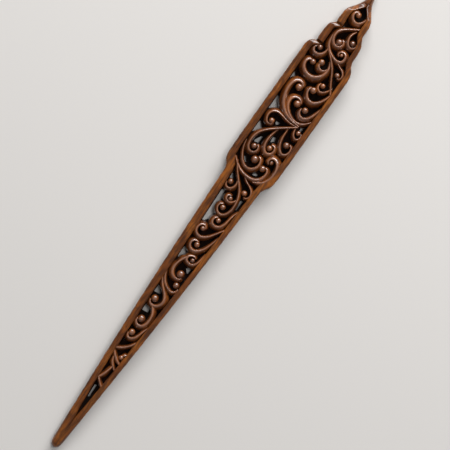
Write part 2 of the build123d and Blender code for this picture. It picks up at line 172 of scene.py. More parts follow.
def stained_wood(name, pale, deep, hollow, wear_and_painted_highlight, all_below, none_above, roughness, coat,
                 tooling=0.0, sheen_of_wood=0.5):
    """Stained and lacquered wood: pale and deep stain mixed by the blotches, made darker and lighter by
    the fibres, dark in the pores, darkened low down by stain and painted shade, and paler on the crests,
    partly as wear and partly as a painted highlight. The coat is the lacquer, and the wood under it has
    a weaker sheen of its own. The bump is fibres less pores plus tooling."""
    material = bpy.data.materials.new(name)
    material.use_nodes = True
    tree = material.node_tree
    surface = tree.nodes["Principled BSDF"]
    surface.inputs["Specular IOR Level"].default_value = sheen_of_wood
    surface.inputs["Coat Weight"].default_value = coat
    surface.inputs["Coat Roughness"].default_value = 0.19
    surface.inputs["Coat IOR"].default_value = 1.65

    grain = tree.nodes.new("ShaderNodeGroup")
    grain.node_tree = WOOD_GRAIN
    hollows = tree.nodes.new("ShaderNodeGroup")
    hollows.node_tree = STAIN_AND_PAINTED_SHADE
    hollows.inputs["All Below"].default_value = all_below
    hollows.inputs["None Above"].default_value = none_above
    ridge = tree.nodes.new("ShaderNodeAttribute")
    ridge.attribute_name = "ridge"
    fibres, pores = grain.outputs["Fibres"], grain.outputs["Pores"]

    tone = tree.nodes.new("ShaderNodeHueSaturation")
    wire(tree, blend_of(tree, grain.outputs["Blotches"], deep, pale), tone.inputs["Color"])
    wire(tree, eased(tree, fibres, 0.34, 0.66, 0.50, 1.30), tone.inputs["Value"])
    in_pores = product_of(tree, pores, 0.6)
    # paler crests: partly wear, partly a painted highlight
    wear_and_highlight_share = product_of(tree, eased(tree, ridge.outputs["Fac"], 0.6, 1.0), 0.4)
    colour = blend_of(tree, in_pores, tone.outputs["Color"], hollow)
    colour = blend_of(tree, wear_and_highlight_share, colour, wear_and_painted_highlight)
    # painted shade and stain: the low parts are given the hollow colour
    colour = blend_of(tree, hollows.outputs["Stain"], colour, hollow)
    wire(tree, colour, surface.inputs["Base Color"])

    dull_fibres = eased(tree, fibres, 0.3, 0.7, roughness + 0.08, roughness - 0.05)
    dull_hollows = product_of(tree, hollows.outputs["Stain"], 0.25)
    wire(tree, sum_of(tree, dull_fibres, dull_hollows), surface.inputs["Roughness"])

    bump = tree.nodes.new("ShaderNodeBump")
    bump.inputs["Strength"].default_value = 0.4
    bump.inputs["Distance"].default_value = 0.00005
    open_grain = sum_of(tree, fibres, product_of(tree, pores, -0.6))
    cuts = product_of(tree, grain.outputs["Tooling"], tooling)
    wire(tree, sum_of(tree, open_grain, cuts), bump.inputs["Height"])
    tree.links.new(bump.outputs["Normal"], surface.inputs["Normal"])
    return material


# hollow: pores, and painted shade with stain low down; the crest colour: wear and a painted highlight
FRAME_WOOD = stained_wood(
    "frame stained wood", pale=(0.220, 0.064, 0.0055, 1.0), deep=(0.115, 0.029, 0.0025, 1.0),
    hollow=(0.012, 0.0035, 0.0015, 1.0), wear_and_painted_highlight=(0.30, 0.13, 0.06, 1.0),
    all_below=-0.0006, none_above=0.0027, roughness=0.42, coat=0.6, sheen_of_wood=0.2)


def blank_top(y):
    """Height of the blank: level, then falling in straight lines to the point and to the finial."""
    return (BLANK_TOP - POINT_FALL * np.clip(POINT_TAPER_Y - y, 0, None)
            - FINIAL_FALL * np.clip(y - FINIAL_TAPER_Y, 0, None))


def eased_rows(stations, step, easing):
    """Stations joined by straight lines, read at even steps of the length that their first two columns
    give, and averaged over the easing length by a raised-cosine window, so that every corner is a short
    curve. The ends are kept by reflecting the rows about them before averaging."""
    rows = np.asarray(stations, float)
    at = np.concatenate([[0.0], np.cumsum(np.linalg.norm(np.diff(rows[:, :2], axis=0), axis=1))])
    even = np.linspace(0, at[-1], int(at[-1] / step) + 1)
    drawn = np.stack([np.interp(even, at, column) for column in rows.T], axis=1)
    half = max(1, int(easing / step / 2))
    window = np.hanning(2 * half + 3)[1:-1]
    before, after = 2 * drawn[0] - drawn[half:0:-1], 2 * drawn[-1] - drawn[-2:-half - 2:-1]
    padded = np.concatenate([before, drawn, after])
    return np.stack([np.convolve(column, window / window.sum(), "valid") for column in padded.T], axis=1)


def rounded_section(fullness, count=25):
    """The top of a section from edge to edge: across = cos(t)^(2/fullness) and up = sin(t)^(2/fullness)
    with their signs kept, which is a half circle for a fullness of 2 and squarer above that."""
    t = np.linspace(0, math.pi, count)
    across = np.sign(np.cos(t)) * np.abs(np.cos(t)) ** (2 / fullness)
    return across, np.abs(np.sin(t)) ** (2 / fullness)


def closed_shell(grid, ridge):
    """A closed skin over a grid of points, rows of closed loops, with a cap on the first and the last
    loop. Its faces are turned outwards if its signed volume comes out negative. The ridge is a value
    at each point, 1 on the crest, where the colour is made paler as wear and as a painted highlight."""
    rows, columns = grid.shape[:2]
    i, j = np.meshgrid(np.arange(rows - 1), np.arange(columns), indexing="ij")
    beside = (j + 1) % columns
    quads = np.stack([i * columns + j, i * columns + beside,
                      (i + 1) * columns + beside, (i + 1) * columns + j], axis=-1).reshape(-1, 4)
    points = grid.reshape(-1, 3)
    a, b, c, d = (points[quads[:, k]] for k in range(4))
    volume = np.einsum("ij,ij->", a, np.cross(b, c)) + np.einsum("ij,ij->", a, np.cross(c, d))
    first, last = np.arange(columns)[::-1], np.arange(columns) + (rows - 1) * columns
    if volume < 0:
        quads, first, last = quads[:, ::-1], first[::-1], last[::-1]
    return points, quads.tolist() + [first.tolist(), last.tolist()], ridge.reshape(-1)


def add_piece(node, shells, material):
    """One mesh made of closed shells, in metres, riding on the pin in place of its CAD node."""
    starts = np.cumsum([0] + [len(points) for points, _, _ in shells])
    faces = [[corner + int(start) for corner in face]
             for start, (_, shell_faces, _) in zip(starts, shells) for face in shell_faces]
    mesh = bpy.data.meshes.new(node + "_carved")
    mesh.from_pydata(np.concatenate([points for points, _, _ in shells]) * MM, [], faces)
    # where the crests get the paler colour of wear and painted highlight
    wear_and_painted_highlight = np.concatenate([values for _, _, values in shells]).astype(np.float32)
    mesh.attributes.new("ridge", "FLOAT", "POINT").data.foreach_set("value", wear_and_painted_highlight)
    mesh.shade_smooth()
    mesh.materials.append(material)
    piece = bpy.data.objects.new(node + "_carved", mesh)
    bpy.context.collection.objects.link(piece)
    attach(piece, "root")
    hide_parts(node)


def shoulder_dip(y, shoulders):
    """How far the top falls at each shoulder, given as (y where it starts, y of the step, depth). It
    rolls over into a slope, fall = slope (t - r (1 - exp(-t / r))) at t mm past the start with r the
    radius of the roll, then drops into a narrow groove and comes straight up again at the step."""
    dip = np.zeros_like(y)
    for start, step, depth in shoulders:
        past = y - start
        fall = STEP_SLOPE * (past - STEP_ROLL * (1 - np.exp(-past / STEP_ROLL)))
        fall = np.where(y > step - STEP_GROOVE, depth, fall)
        dip = np.where((y > start) & (y < step), fall, dip)
    return dip


# A rail's underside from its inner edge to its outer: place across the rail from -1 to 1, and height.
# Its second to fourth corners are moved in by the ledge.
RAIL_UNDERSIDE = np.array([
    (-1.0, LEDGE_TOP), (-1.0, LEDGE_TOP), (-1.0, 0.0), (-0.98, 0.0), (0.0, 0.0), (0.9, 0.0),
    (0.98, SLIGHT_ROUNDING), (1.0, BACK_ROUNDING)])


def rail_shell(stations, seed, shoulders=()):
    """A rail: each station gives the outer edge, the inner edge, how far the top is lowered and how much
    lower still it is at the outer edge. The section stands upright on a back with eased edges and is
    rounded over from edge to edge on top. At the foot of its inner side a ledge runs into the ground. A
    few slow sine waves, started by the seed, make the sides and the top as uneven as handwork."""
    rows = eased_rows(stations, LOOP_GAP, CORNER_EASING)
    outer, inner, lowered, tilt = rows[:, 0:2], rows[:, 2:4], rows[:, 4], rows[:, 5:6]
    middle, half = (outer + inner) / 2, (outer - inner) / 2
    size = np.linalg.norm(half, axis=1)[:, None]
    y = outer[:, 1]
    waves = (np.sin(0.9 * y + seed) + np.sin(2.3 * y + 2 * seed)) * (np.abs(y) < EVEN_PAST_Y)
    widening = UNEVEN_SIDE / 2 * waves[:, None] / size
    hollows = UNEVEN_TOP * (1 - np.sin(1.7 * y + 3 * seed))
    top = blank_top(y) - lowered - shoulder_dip(middle[:, 1], shoulders) - hollows
    wall = np.minimum(top - RAIL_ROUNDING, LEAST_WALL * top)

    across, up = rounded_section(RAIL_FULLNESS)
    height = wall[:, None] + (top - wall)[:, None] * up - tilt * (1 + across) / 2
    under, under_height = (np.broadcast_to(column, (len(y), len(column))) for column in RAIL_UNDERSIDE.T)
    under = under.copy()
    under[:, 1:4] -= LEDGE / size
    across = np.concatenate([across * (1 + widening), under], axis=1)
    height = np.concatenate([height, under_height], axis=1)
    plan = middle[:, None, :] + half[:, None, :] * across[:, :, None]
    grid = np.concatenate([plan, height[:, :, None]], axis=2)
    # the rounded top gets the paler colour of wear and painted highlight
    ridge = np.concatenate([up ** 4, np.zeros(len(RAIL_UNDERSIDE))]) * np.ones((len(y), 1))
    return closed_shell(grid, 0.6 * ridge)


# Stations up each rail: outer edge x, y; inner edge x, y; how far the top is lowered; the outward tilt.
RIGHT_RAIL = [
    (2.42, -78.0, 0.15, -78.0, 0, 0), (2.56, -75, 0.5, -75, 0, 0), (3.15, -66, 1.2, -66, 0, 0),
    (3.65, -58, 1.8, -58, 0, 0), (4.25, -48, 2.3, -48, 0, 0), (5.10, -32, 3.2, -32, 0, 0),
    (5.75, -18, 3.8, -18, 0, 0), (6.15, -8, 4.2, -8, 0, 0), (6.50, 2, 4.6, 2, 0, 0),
    (6.85, 12, 4.9, 12, 0, 0), (6.95, 15.2, 5.0, 15.4, 0, 0), (7.6, 16.6, 5.3, 17.3, 0, 0),
    (8.55, 17.8, 6.0, 18.8, 0, 0), (8.98, 19.4, 6.7, 20.4, 0, 0), (9.15, 22.5, 7.05, 23, 0, 0),
    (9.2, 28, 7.15, 28, 0, 0), (9.2, 60.0, 7.2, 60.0, 0, 0), (9.0, 61.8, 7.15, 61.6, 0, 0),
    (8.3, 63.4, 6.35, 63.1, 0.15, -0.25), (7.4, 64.6, 5.4, 64.5, 0.25, -0.25),
    (6.9, 66.0, 5.0, 65.9, 0.1, 0), (6.85, 68, 5.0, 68, 0, 0), (6.75, 69.9, 4.98, 69.9, 0, 0),
    (6.3, 71.9, 4.65, 71.7, 0.15, -0.25), (5.5, 73.3, 3.6, 73.1, 0.25, -0.25),
    (4.95, 74.5, 2.95, 74.4, 0.1, 0), (4.9, 76.3, 2.75, 76.3, 0, 0), (4.85, 78.3, 2.75, 78.3, 0, 0),
    (4.3, 80.2, 2.5, 80.0, 0, 0.5), (3.5, 81.5, 1.6, 81.4, 0.05, 1.0),
    (2.35, 83.3, 0.2, 83.1, 0.25, 1.1), (1.8, 84.3, 0.15, 84.3, 0.5, 0.8),
]
LEFT_RAIL = [
    (-2.42, -78.0, 0.15, -78.0, 0, 0), (-2.56, -75, -0.4, -75, 0, 0), (-3.15, -66, -1.15, -66, 0, 0),
    (-3.65, -58, -1.65, -58, 0, 0), (-4.25, -48, -2.15, -48, 0, 0), (-5.10, -32, -2.75, -32, 0, 0),
    (-5.75, -18, -3.15, -18, 0, 0), (-6.15, -8, -3.45, -8, 0, 0), (-6.50, 2, -3.8, 2, 0, 0),
    (-6.85, 12, -4.25, 12, 0, 0), (-6.95, 15.2, -4.4, 15.4, 0, 0), (-7.6, 16.6, -4.8, 17.8, 0, 0),
    (-8.55, 17.8, -5.9, 19.2, 0, 0), (-8.98, 19.4, -6.7, 20.6, 0, 0), (-9.15, 22.5, -6.95, 24, 0, 0),
    (-9.2, 28, -6.95, 28, 0, 0), (-9.2, 61.0, -7.0, 61.0, 0, 0), (-9.2, 62.3, -7.0, 62.3, 0, 0),
    (-8.98, 63.5, -6.8, 63.4, 0, 0), (-8.5, 64.4, -6.2, 64.0, 0, 0), (-7.8, 65.0, -5.2, 64.6, 0, 0),
    (-7.15, 65.4, -4.7, 65.2, 0, 0), (-6.82, 65.8, -4.5, 65.8, 0, 0), (-6.95, 66.6, -4.55, 66.6, 0, 0),
    (-6.95, 68.0, -4.55, 68.0, 0, 0), (-6.85, 70.6, -4.55, 70.6, 0, 0), (-6.75, 71.7, -4.5, 71.6, 0, 0),
    (-6.45, 72.5, -4.1, 72.2, 0, 0), (-5.9, 73.1, -3.3, 72.7, 0, 0), (-5.3, 73.6, -2.65, 73.3, 0, 0),
    (-4.95, 74.1, -2.45, 74.1, 0, 0), (-5.08, 74.9, -2.5, 74.9, 0, 0), (-5.05, 76.5, -2.7, 76.5, 0, 0),
    (-4.95, 78.4, -2.8, 78.4, 0, 0.1), (-4.55, 79.7, -2.55, 79.7, 0.05, 0.35),
    (-3.9, 80.8, -1.9, 80.7, 0.3, 0.9), (-3.0, 82.1, -0.95, 81.9, 0.6, 1.0),
    (-2.25, 83.3, 0.05, 83.1, 0.8, 0.9), (-1.75, 84.3, 0.15, 84.3, 0.9, 0.6),
]
# The two sunk shoulders of the left rail: y where the slope starts, y of the step, depth.
LEFT_SHOULDERS = [(63.9, 65.85, 2.6), (72.4, 74.25, 2.6)]
add_piece("right_rail", [rail_shell(RIGHT_RAIL, seed=0.7)], FRAME_WOOD)
add_piece("left_rail", [rail_shell(LEFT_RAIL, seed=2.1, shoulders=LEFT_SHOULDERS)], FRAME_WOOD)

# ---- Finial ----------------------------------------------------------------------------------------
# The solid ogee spire above the window, whittled to a soft ridge along its middle. Its very tip is
# rounded so that it doesn't catch the hair.

END_LOOP_GAP = 0.12
# The underside of a solid end: place across it from -1 to 1, and height.
END_UNDERSIDE = np.array([
    (-1.0, BACK_ROUNDING), (-0.97, SLIGHT_ROUNDING), (-0.85, 0.0), (0.0, 0.0), (0.85, 0.0),
    (0.97, SLIGHT_ROUNDING), (1.0, BACK_ROUNDING)])


def under_end(top):
    """Heights of a solid end's underside, a row for each loop: the back's edges are rounded less where
    the wood is under 2 mm thick."""
    return END_UNDERSIDE[:, 1] * np.minimum(1, top / 2)[:, None]


def spire_shell(stations, fullness, wall_share):
    """A solid end: stations give half width, y and top. The section is rounded on top, and its walls
    rise to a share of the height."""
    half, y, top = eased_rows(stations, END_LOOP_GAP, CORNER_EASING).T
    across, up = rounded_section(fullness)
    wall = wall_share * top
    across = np.concatenate([across, END_UNDERSIDE[:, 0]])
    height = np.concatenate([wall[:, None] + (top - wall)[:, None] * up, under_end(top)], axis=1)
    grid = np.stack([half[:, None] * across, np.broadcast_to(y[:, None], height.shape), height], axis=2)
    ridge = np.concatenate([up ** 6, np.zeros(len(END_UNDERSIDE))]) * np.ones((len(y), 1))
    return closed_shell(grid, 0.7 * ridge)


FINIAL = [
    (2.0, 83.4, 2.3), (1.85, 83.9, 3.0), (1.68, 84.5, 3.35), (1.3, 85.5, 3.3), (1.0, 87.0, 3.1),
    (0.75, 88.2, 2.9), (0.5, 89.2, 2.7), (0.3, 89.7, 2.3), (0.03, 89.98, 1.6),
]
add_piece("finial", [spire_shell(FINIAL, fullness=1.9, wall_share=0.45)], FRAME_WOOD)

# ---- Point -----------------------------------------------------------------------------------------
# The solid end that is pushed through the hair: the two rails run together below the window, are
# planed to a low roof, and end in a blunt, rounded nose.

POINT_EASING = 0.7
ROOF_FULLNESS = 1.8
SEAM_X = 0.15             # the rails meet this far to the right of the middle


def point_shell(stations):
    """The point: stations give half width, y, top, and how much is left of the seam between the rails.
    The section blends two rounded rails side by side, (1 - |v|^3.4)^(1/3.4) across each half, into one
    low roof, (1 - |u|^1.8)^(1/1.8) across the whole."""
    rows = eased_rows(stations, END_LOOP_GAP, POINT_EASING)
    half, y, top, split = (rows[:, k:k + 1] for k in range(4))
    v, rail = rounded_section(RAIL_FULLNESS, 21)
    u = np.concatenate([(v + 1) / 2, (v[1:] - 1) / 2])
    rails = np.concatenate([rail, rail[1:]])
    roof = (1 - np.abs(u) ** ROOF_FULLNESS) ** (1 / ROOF_FULLNESS)
    wall = np.minimum(top - RAIL_ROUNDING * (1.5 - 0.5 * split), LEAST_WALL * top)
    height = wall + (top - wall) * (split * rails + (1 - split) * roof)
    flat = half * u + SEAM_X * (1 - np.abs(u)) * np.minimum(1, half / 2)
    flat = np.concatenate([flat, half * END_UNDERSIDE[:, 0]], axis=1)
    height = np.concatenate([height, under_end(top[:, 0])], axis=1)
    grid = np.stack([flat, np.broadcast_to(y, flat.shape), height], axis=2)
    ridge = np.concatenate([roof ** 4, np.zeros(len(END_UNDERSIDE))]) * np.ones((len(y), 1))
    return closed_shell(grid, 0.6 * ridge)


POINT = [
    (2.42, -77.9, 3.70, 1.0), (2.38, -78.6, 3.69, 0.75), (2.25, -80, 3.66, 0.35), (2.0, -84, 3.56, 0.1),
    (1.8, -87, 3.46, 0), (1.65, -88.3, 3.3, 0), (1.4, -89.1, 3.0, 0), (0.95, -89.7, 2.5, 0),
    (0.45, -89.93, 2.1, 0), (0.04, -89.98, 1.7, 0),
]
add_piece("point", [point_shell(POINT)], FRAME_WOOD)

# ---- Ground ----------------------------------------------------------------------------------------
# The thin layer of wood left at the back of the carving, which the scrolls stand on. Its near-black
# colour is painted shade for the deep hollows between the scrolls, and it is cut right through in
# places beside the rails.

# near-black colours: painted shade in the hollows between the scrolls
GROUND_PAINTED_SHADE = stained_wood(
    "ground painted shade", pale=(0.0150, 0.0046, 0.0020, 1.0), deep=(0.0060, 0.0019, 0.0009, 1.0),
    hollow=(0.0030, 0.0010, 0.0006, 1.0), wear_and_painted_highlight=(0.0150, 0.0046, 0.0020, 1.0),
    all_below=0.0, none_above=0.0001, roughness=0.70, coat=0.0, sheen_of_wood=0.2)
for node in ("head_ground", "blade_ground"):
    for given_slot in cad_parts[node].material_slots:
        given_slot.material = GROUND_PAINTED_SHADE

# ---- Crest scrolls ---------------------------------------------------------------------------------
# The curls in the two narrow tiers under the finial. Each is a strand cut with a gouge, rounded over
# to a ridge on the inside of its curl, that winds up round a ball. The vine and the stem cross here.

STRAND_FOOT = 1.0         # strands and balls stand this high, just inside the ground
STRAND_GAP = 0.09         # between the loops along a strand
FINE_POINTS = 1500        # for measuring a line's length
LEAN = 0.45               # how far a bend moves the ridge, in half widths
SPREAD = 0.75             # how far it lets the outer flank run out
FLANK_REACH = 1.06        # flanks end a little past the half width, in the ground's shadow
FLANK_FULLNESS = 0.62
BEND_REACH = 3.0          # mm: a curl of this radius has three quarters of the full lean
BEND_EASING = 25          # loops over which the bend is averaged, with the two at the ends weightless
END_REACH = 1.5           # mm from an end over which the spread fades out
RIB_HEIGHT = 0.02         # gouge marks across a strand, in patches
BALL_SIDES = 36
# hollow: pores, and painted shade with stain low down; the pinkish crest colour: wear and a painted
# highlight
CARVED_WOOD = stained_wood(
    "carved stained wood", pale=(0.240, 0.071, 0.013, 1.0), deep=(0.130, 0.034, 0.006, 1.0),
    hollow=(0.024, 0.0058, 0.0022, 1.0), wear_and_painted_highlight=(0.42, 0.21, 0.135, 1.0),
    all_below=0.0010, none_above=0.0036, roughness=0.30, coat=1.0, tooling=2.2)


def line_through(points, step):
    """A smooth line through points: the natural cubic spline on their chord length, whose bends solve
    one linear system, read at even steps of its own length."""
    p = np.asarray(points, float)
    t = np.concatenate([[0.0], np.cumsum(np.linalg.norm(np.diff(p, axis=0), axis=1))])
    h, last = np.diff(t), len(p) - 1
    system, right = np.eye(last + 1), np.zeros_like(p)
    k = np.arange(1, last)
    system[k, k - 1], system[k, k], system[k, k + 1] = h[:-1], 2 * (h[:-1] + h[1:]), h[1:]
    right[1:-1] = 6 * np.diff(np.diff(p, axis=0) / h[:, None], axis=0)
    bend = np.linalg.solve(system, right)

    def read(s):
        """The spline at lengths s along the chords, from the bends at both ends of each piece."""
        i = np.clip(np.searchsorted(t, s, side="right") - 1, 0, last - 1)
        before, after, gap = (s - t[i])[:, None], (t[i + 1] - s)[:, None], h[i][:, None]
        straight = ((p[i] / gap - bend[i] * gap / 6) * after
                    + (p[i + 1] / gap - bend[i + 1] * gap / 6) * before)
        return straight + (bend[i] * after ** 3 + bend[i + 1] * before ** 3) / (6 * gap)

    fine = np.linspace(0, t[-1], FINE_POINTS)
    run = np.concatenate([[0.0], np.cumsum(np.linalg.norm(np.diff(read(fine), axis=0), axis=1))])
    even = np.linspace(0, run[-1], int(run[-1] / step) + 2)
    return read(np.interp(even, run, fine)), even


def swelling(share, values):
    """Root, belly and end values joined along a strand by half a sine wave on each side of the belly."""
    root, belly, end = values
    edge = np.where(share < 0.5, root, end)
    return edge + (belly - edge) * np.sin(math.pi * share)


def strand_shell(points, widths, crests):
    """A carved strand. Its section is carried along the line: on both sides of the ridge the height is
    foot + (crest - foot) (1 - v^2)^0.62, with v going from 0 at the ridge to 1 at the foot of that side.
    The bend, tanh(3 mm x curvature), moves the ridge to the inside of the curl by LEAN of the half width
    and lets the outer flank run out by SPREAD of it. The end closes in a quarter circle."""
    line, run = line_through(points, STRAND_GAP)
    share, left_to_run = run / run[-1], run[-1] - run
    ahead = np.gradient(line, run, axis=0)
    ahead /= np.linalg.norm(ahead, axis=1)[:, None]
    left = np.stack([-ahead[:, 1], ahead[:, 0]], axis=1)
    curvature = np.einsum("ij,ij->i", np.gradient(ahead, run, axis=0), left)
    window = np.hanning(BEND_EASING)[1:-1]
    curvature = np.pad(curvature, len(window) // 2, "edge")
    bend = np.tanh(BEND_REACH * np.convolve(curvature, window / window.sum(), "valid"))[:, None]

    closing = np.sqrt(np.clip(1 - (1 - np.clip(left_to_run * 2 / widths[2], 0, 1)) ** 2, 0.0025, 1))
    half = (swelling(share, widths) / 2 * closing)[:, None]
    ribs = RIB_HEIGHT * np.sin(14.0 * run) * np.clip(np.sin(0.9 * run + points[0][1]), 0, 1)
    rise = (swelling(share, crests) + ribs - STRAND_FOOT)[:, None] * (0.4 + 0.6 * closing[:, None])
    v = np.sin(np.linspace(0, math.pi / 2, 13)) ** 1.15
    drop = (1 - v ** 2) ** FLANK_FULLNESS
    drop = np.concatenate([drop[::-1], drop[1:]])

    ridge_at = LEAN * bend
    fade = np.clip(np.minimum(run, left_to_run) / END_REACH, 0, 1)[:, None]
    reach_left = FLANK_REACH + SPREAD * np.clip(-bend, 0, 1) * fade
    reach_right = FLANK_REACH + SPREAD * np.clip(bend, 0, 1) * fade
    across = np.concatenate([ridge_at - v[::-1] * (reach_right + ridge_at),
                             ridge_at + v[1:] * (reach_left - ridge_at)], axis=1)
    plan = line[:, None, :] + left[:, None, :] * (half * across)[:, :, None]
    grid = np.concatenate([plan, (STRAND_FOOT + rise * drop)[:, :, None]], axis=2)
    # the ridge gets the paler colour of wear and painted highlight
    return closed_shell(grid, drop ** 6 * np.ones((len(run), 1)))


def ball_shell(x, y, radius, top):
    """The ball in the eye of a curl: an arc, out = radius sin(t) and up = radius cos(t), turned about an
    upright axis, on a neck three quarters as wide that goes down to the ground."""
    t = np.linspace(0.03, math.pi * 0.74, 22)
    reach = np.concatenate([radius * np.sin(t), [radius * 0.72, radius * 0.75]])
    height = np.concatenate([top - radius + radius * np.cos(t), [STRAND_FOOT + 0.6, STRAND_FOOT]])
    turn = np.linspace(0, 2 * math.pi, BALL_SIDES, endpoint=False)
    grid = np.stack([x + reach[:, None] * np.cos(turn), y + reach[:, None] * np.sin(turn),
                     np.broadcast_to(height[:, None], (len(reach), BALL_SIDES))], axis=2)
    # the top of the ball gets the paler colour of wear and painted highlight
    ridge = np.concatenate([np.clip(np.cos(t), 0, 1) ** 2, [0, 0]])[:, None] * np.ones((1, BALL_SIDES))
    return closed_shell(grid, ridge)


def add_scrolls(scrolls):
    """Each scroll is its strand and, where it has one, its ball, in one piece."""
    for node, (points, widths, crests, ball) in scrolls.items():
        shells = [strand_shell(points, widths, crests)]
        if ball:
            shells.append(ball_shell(*ball))
        add_piece(node, shells, CARVED_WOOD)


# Each: line from root to end; widths at root, belly and end; crest heights there; ball x, y, radius, top.
add_scrolls({
    "finial_scroll": (
        [(2.75, 80.3), (2.4, 79.0), (1.9, 77.8), (0.7, 76.95), (-0.7, 77.15), (-1.7, 78.2), (-1.85, 79.5),
         (-1.2, 80.4), (-0.2, 80.7)],
        (1.1, 1.7, 1.1), (4.2, 4.4, 3.9), (-0.3, 79.7, 0.95, 4.4)),
    "crest_volute": (
        [(3.1, 76.2), (1.5, 75.2), (-0.2, 74.1), (-1.9, 72.8), (-2.9, 71.3), (-2.9, 69.5), (-2.2, 68.0),
         (-0.7, 67.2), (0.8, 67.8), (1.2, 69.2), (0.6, 70.2), (-0.2, 70.3)],
        (1.2, 1.8, 1.0), (4.3, 4.6, 3.9), (-0.35, 69.0, 1.15, 4.5)),
    "crest_teardrop": (
        [(2.4, 75.0), (1.6, 73.5), (1.4, 72.0), (1.9, 70.4), (3.2, 69.3), (4.5, 69.7), (5.0, 70.9),
         (4.5, 71.8)],
        (1.0, 1.5, 0.9), (3.9, 4.3, 3.8), (3.4, 71.1, 0.95, 4.5)),
    "crest_vine": (
        [(-3.4, 71.0), (-3.35, 68.6), (-2.9, 66.8), (-1.9, 65.4), (-0.5, 64.4), (1.1, 63.7), (2.8, 63.4),
         (4.0, 64.0), (4.4, 65.3), (4.0, 66.6), (2.8, 67.2), (1.7, 66.6), (1.6, 65.6), (2.4, 65.2)],
        (1.5, 1.8, 0.8), (4.1, 4.5, 3.8), (2.75, 66.0, 0.6, 4.1)),
    "crossing_stem": (
        [(-1.9, 65.3), (-0.4, 63.9), (1.0, 62.6), (2.3, 61.2), (3.4, 59.6), (4.4, 57.8), (5.5, 55.9),
         (6.6, 54.3), (7.4, 53.0)],
        (1.0, 1.3, 1.3), (4.3, 4.7, 4.2), None),
})

# ---- Heart scrolls ---------------------------------------------------------------------------------
# The broad curls in the widest part of the head, two of them folded together like the halves of a
# heart. The tall ones are the heaviest strands on the pin.

add_scrolls({
    "left_shoulder_curl": (
        [(-2.1, 65.3), (-2.1, 64.1), (-2.7, 62.7), (-3.9, 61.8), (-5.2, 61.8), (-6.1, 62.7), (-6.0, 63.9),
         (-5.1, 64.7)],
        (1.0, 1.7, 0.9), (4.2, 4.5, 3.9), (-4.45, 64.2, 0.9, 4.5)),
    "heart_volute": (
        [(0.9, 62.2), (1.8, 60.5), (2.0, 58.7), (1.4, 56.9), (0.1, 55.3), (-1.9, 54.6), (-4.1, 55.1),
         (-5.6, 56.7), (-5.8, 58.4), (-4.9, 59.5), (-3.9, 59.6)],
        (1.2, 2.3, 1.4), (4.1, 4.7, 4.1), (-3.7, 59.1, 1.0, 4.5)),
    "heart_curl": (
        [(1.9, 60.4), (1.5, 59.0), (0.4, 58.1), (-0.9, 58.3), (-1.6, 59.3), (-1.5, 60.3)],
        (0.9, 1.5, 1.5), (3.9, 4.3, 4.0), (-1.2, 60.5, 1.05, 4.6)),
    "right_shoulder_curl": (
        [(3.2, 63.1), (4.4, 62.5), (5.7, 62.0), (6.7, 61.0), (6.9, 59.8), (6.3, 59.0), (5.4, 58.9)],
        (1.2, 1.2, 0.9), (4.2, 4.4, 3.8), (5.3, 59.9, 0.9, 4.4)),
    "hook_curl": (
        [(6.5, 55.4), (5.8, 54.0), (4.9, 52.8), (3.7, 52.3), (2.6, 52.9), (2.2, 54.1), (2.6, 55.2)],
        (0.9, 1.2, 0.8), (4.0, 4.3, 3.8), (3.5, 54.5, 0.85, 4.4)),
    "upper_cradle": (
        [(7.2, 53.4), (6.75, 51.6), (5.9, 49.8), (4.7, 48.4), (3.1, 47.8), (1.5, 48.4), (0.5, 49.9),
         (0.35, 51.5), (1.0, 52.4)],
        (1.1, 1.9, 1.1), (4.1, 4.6, 4.0), (1.75, 51.6, 1.15, 4.6)),
    "lower_cradle": (
        [(7.4, 48.2), (6.9, 46.2), (6.3, 44.3), (5.4, 42.8), (4.0, 42.0), (2.6, 42.5), (1.9, 43.8),
         (2.1, 45.0)],
        (1.0, 1.8, 1.0), (4.0, 4.4, 3.9), (3.4, 44.8, 1.05, 4.6)),
    "tall_volute": (
        [(4.8, 39.4), (2.2, 39.6), (-0.2, 40.1), (-2.2, 41.2), (-3.7, 42.7), (-4.8, 44.8), (-5.4, 47.2),
         (-5.4, 49.4), (-4.7, 51.1), (-3.3, 51.9), (-1.9, 51.4), (-1.4, 50.3)],
        (1.0, 2.5, 1.2), (4.2, 4.8, 4.0), (-2.5, 49.9, 1.25, 4.6)),
    "inner_volute": (
        [(7.3, 43.0), (6.0, 41.2), (4.4, 40.1), (2.4, 39.9), (0.4, 40.6), (-1.2, 41.8), (-2.3, 43.3),
         (-2.7, 45.0), (-2.0, 46.5), (-0.6, 47.0), (0.8, 46.5), (1.3, 45.4)],
        (0.9, 1.9, 1.1), (3.9, 4.5, 4.0), (0.1, 45.2, 1.25, 4.6)),
})

# ---- Fan scrolls -----------------------------------------------------------------------------------
# A spray of curls that open like a fan from one knot beside the right-hand rail, on a straight spine
# that crosses the head.

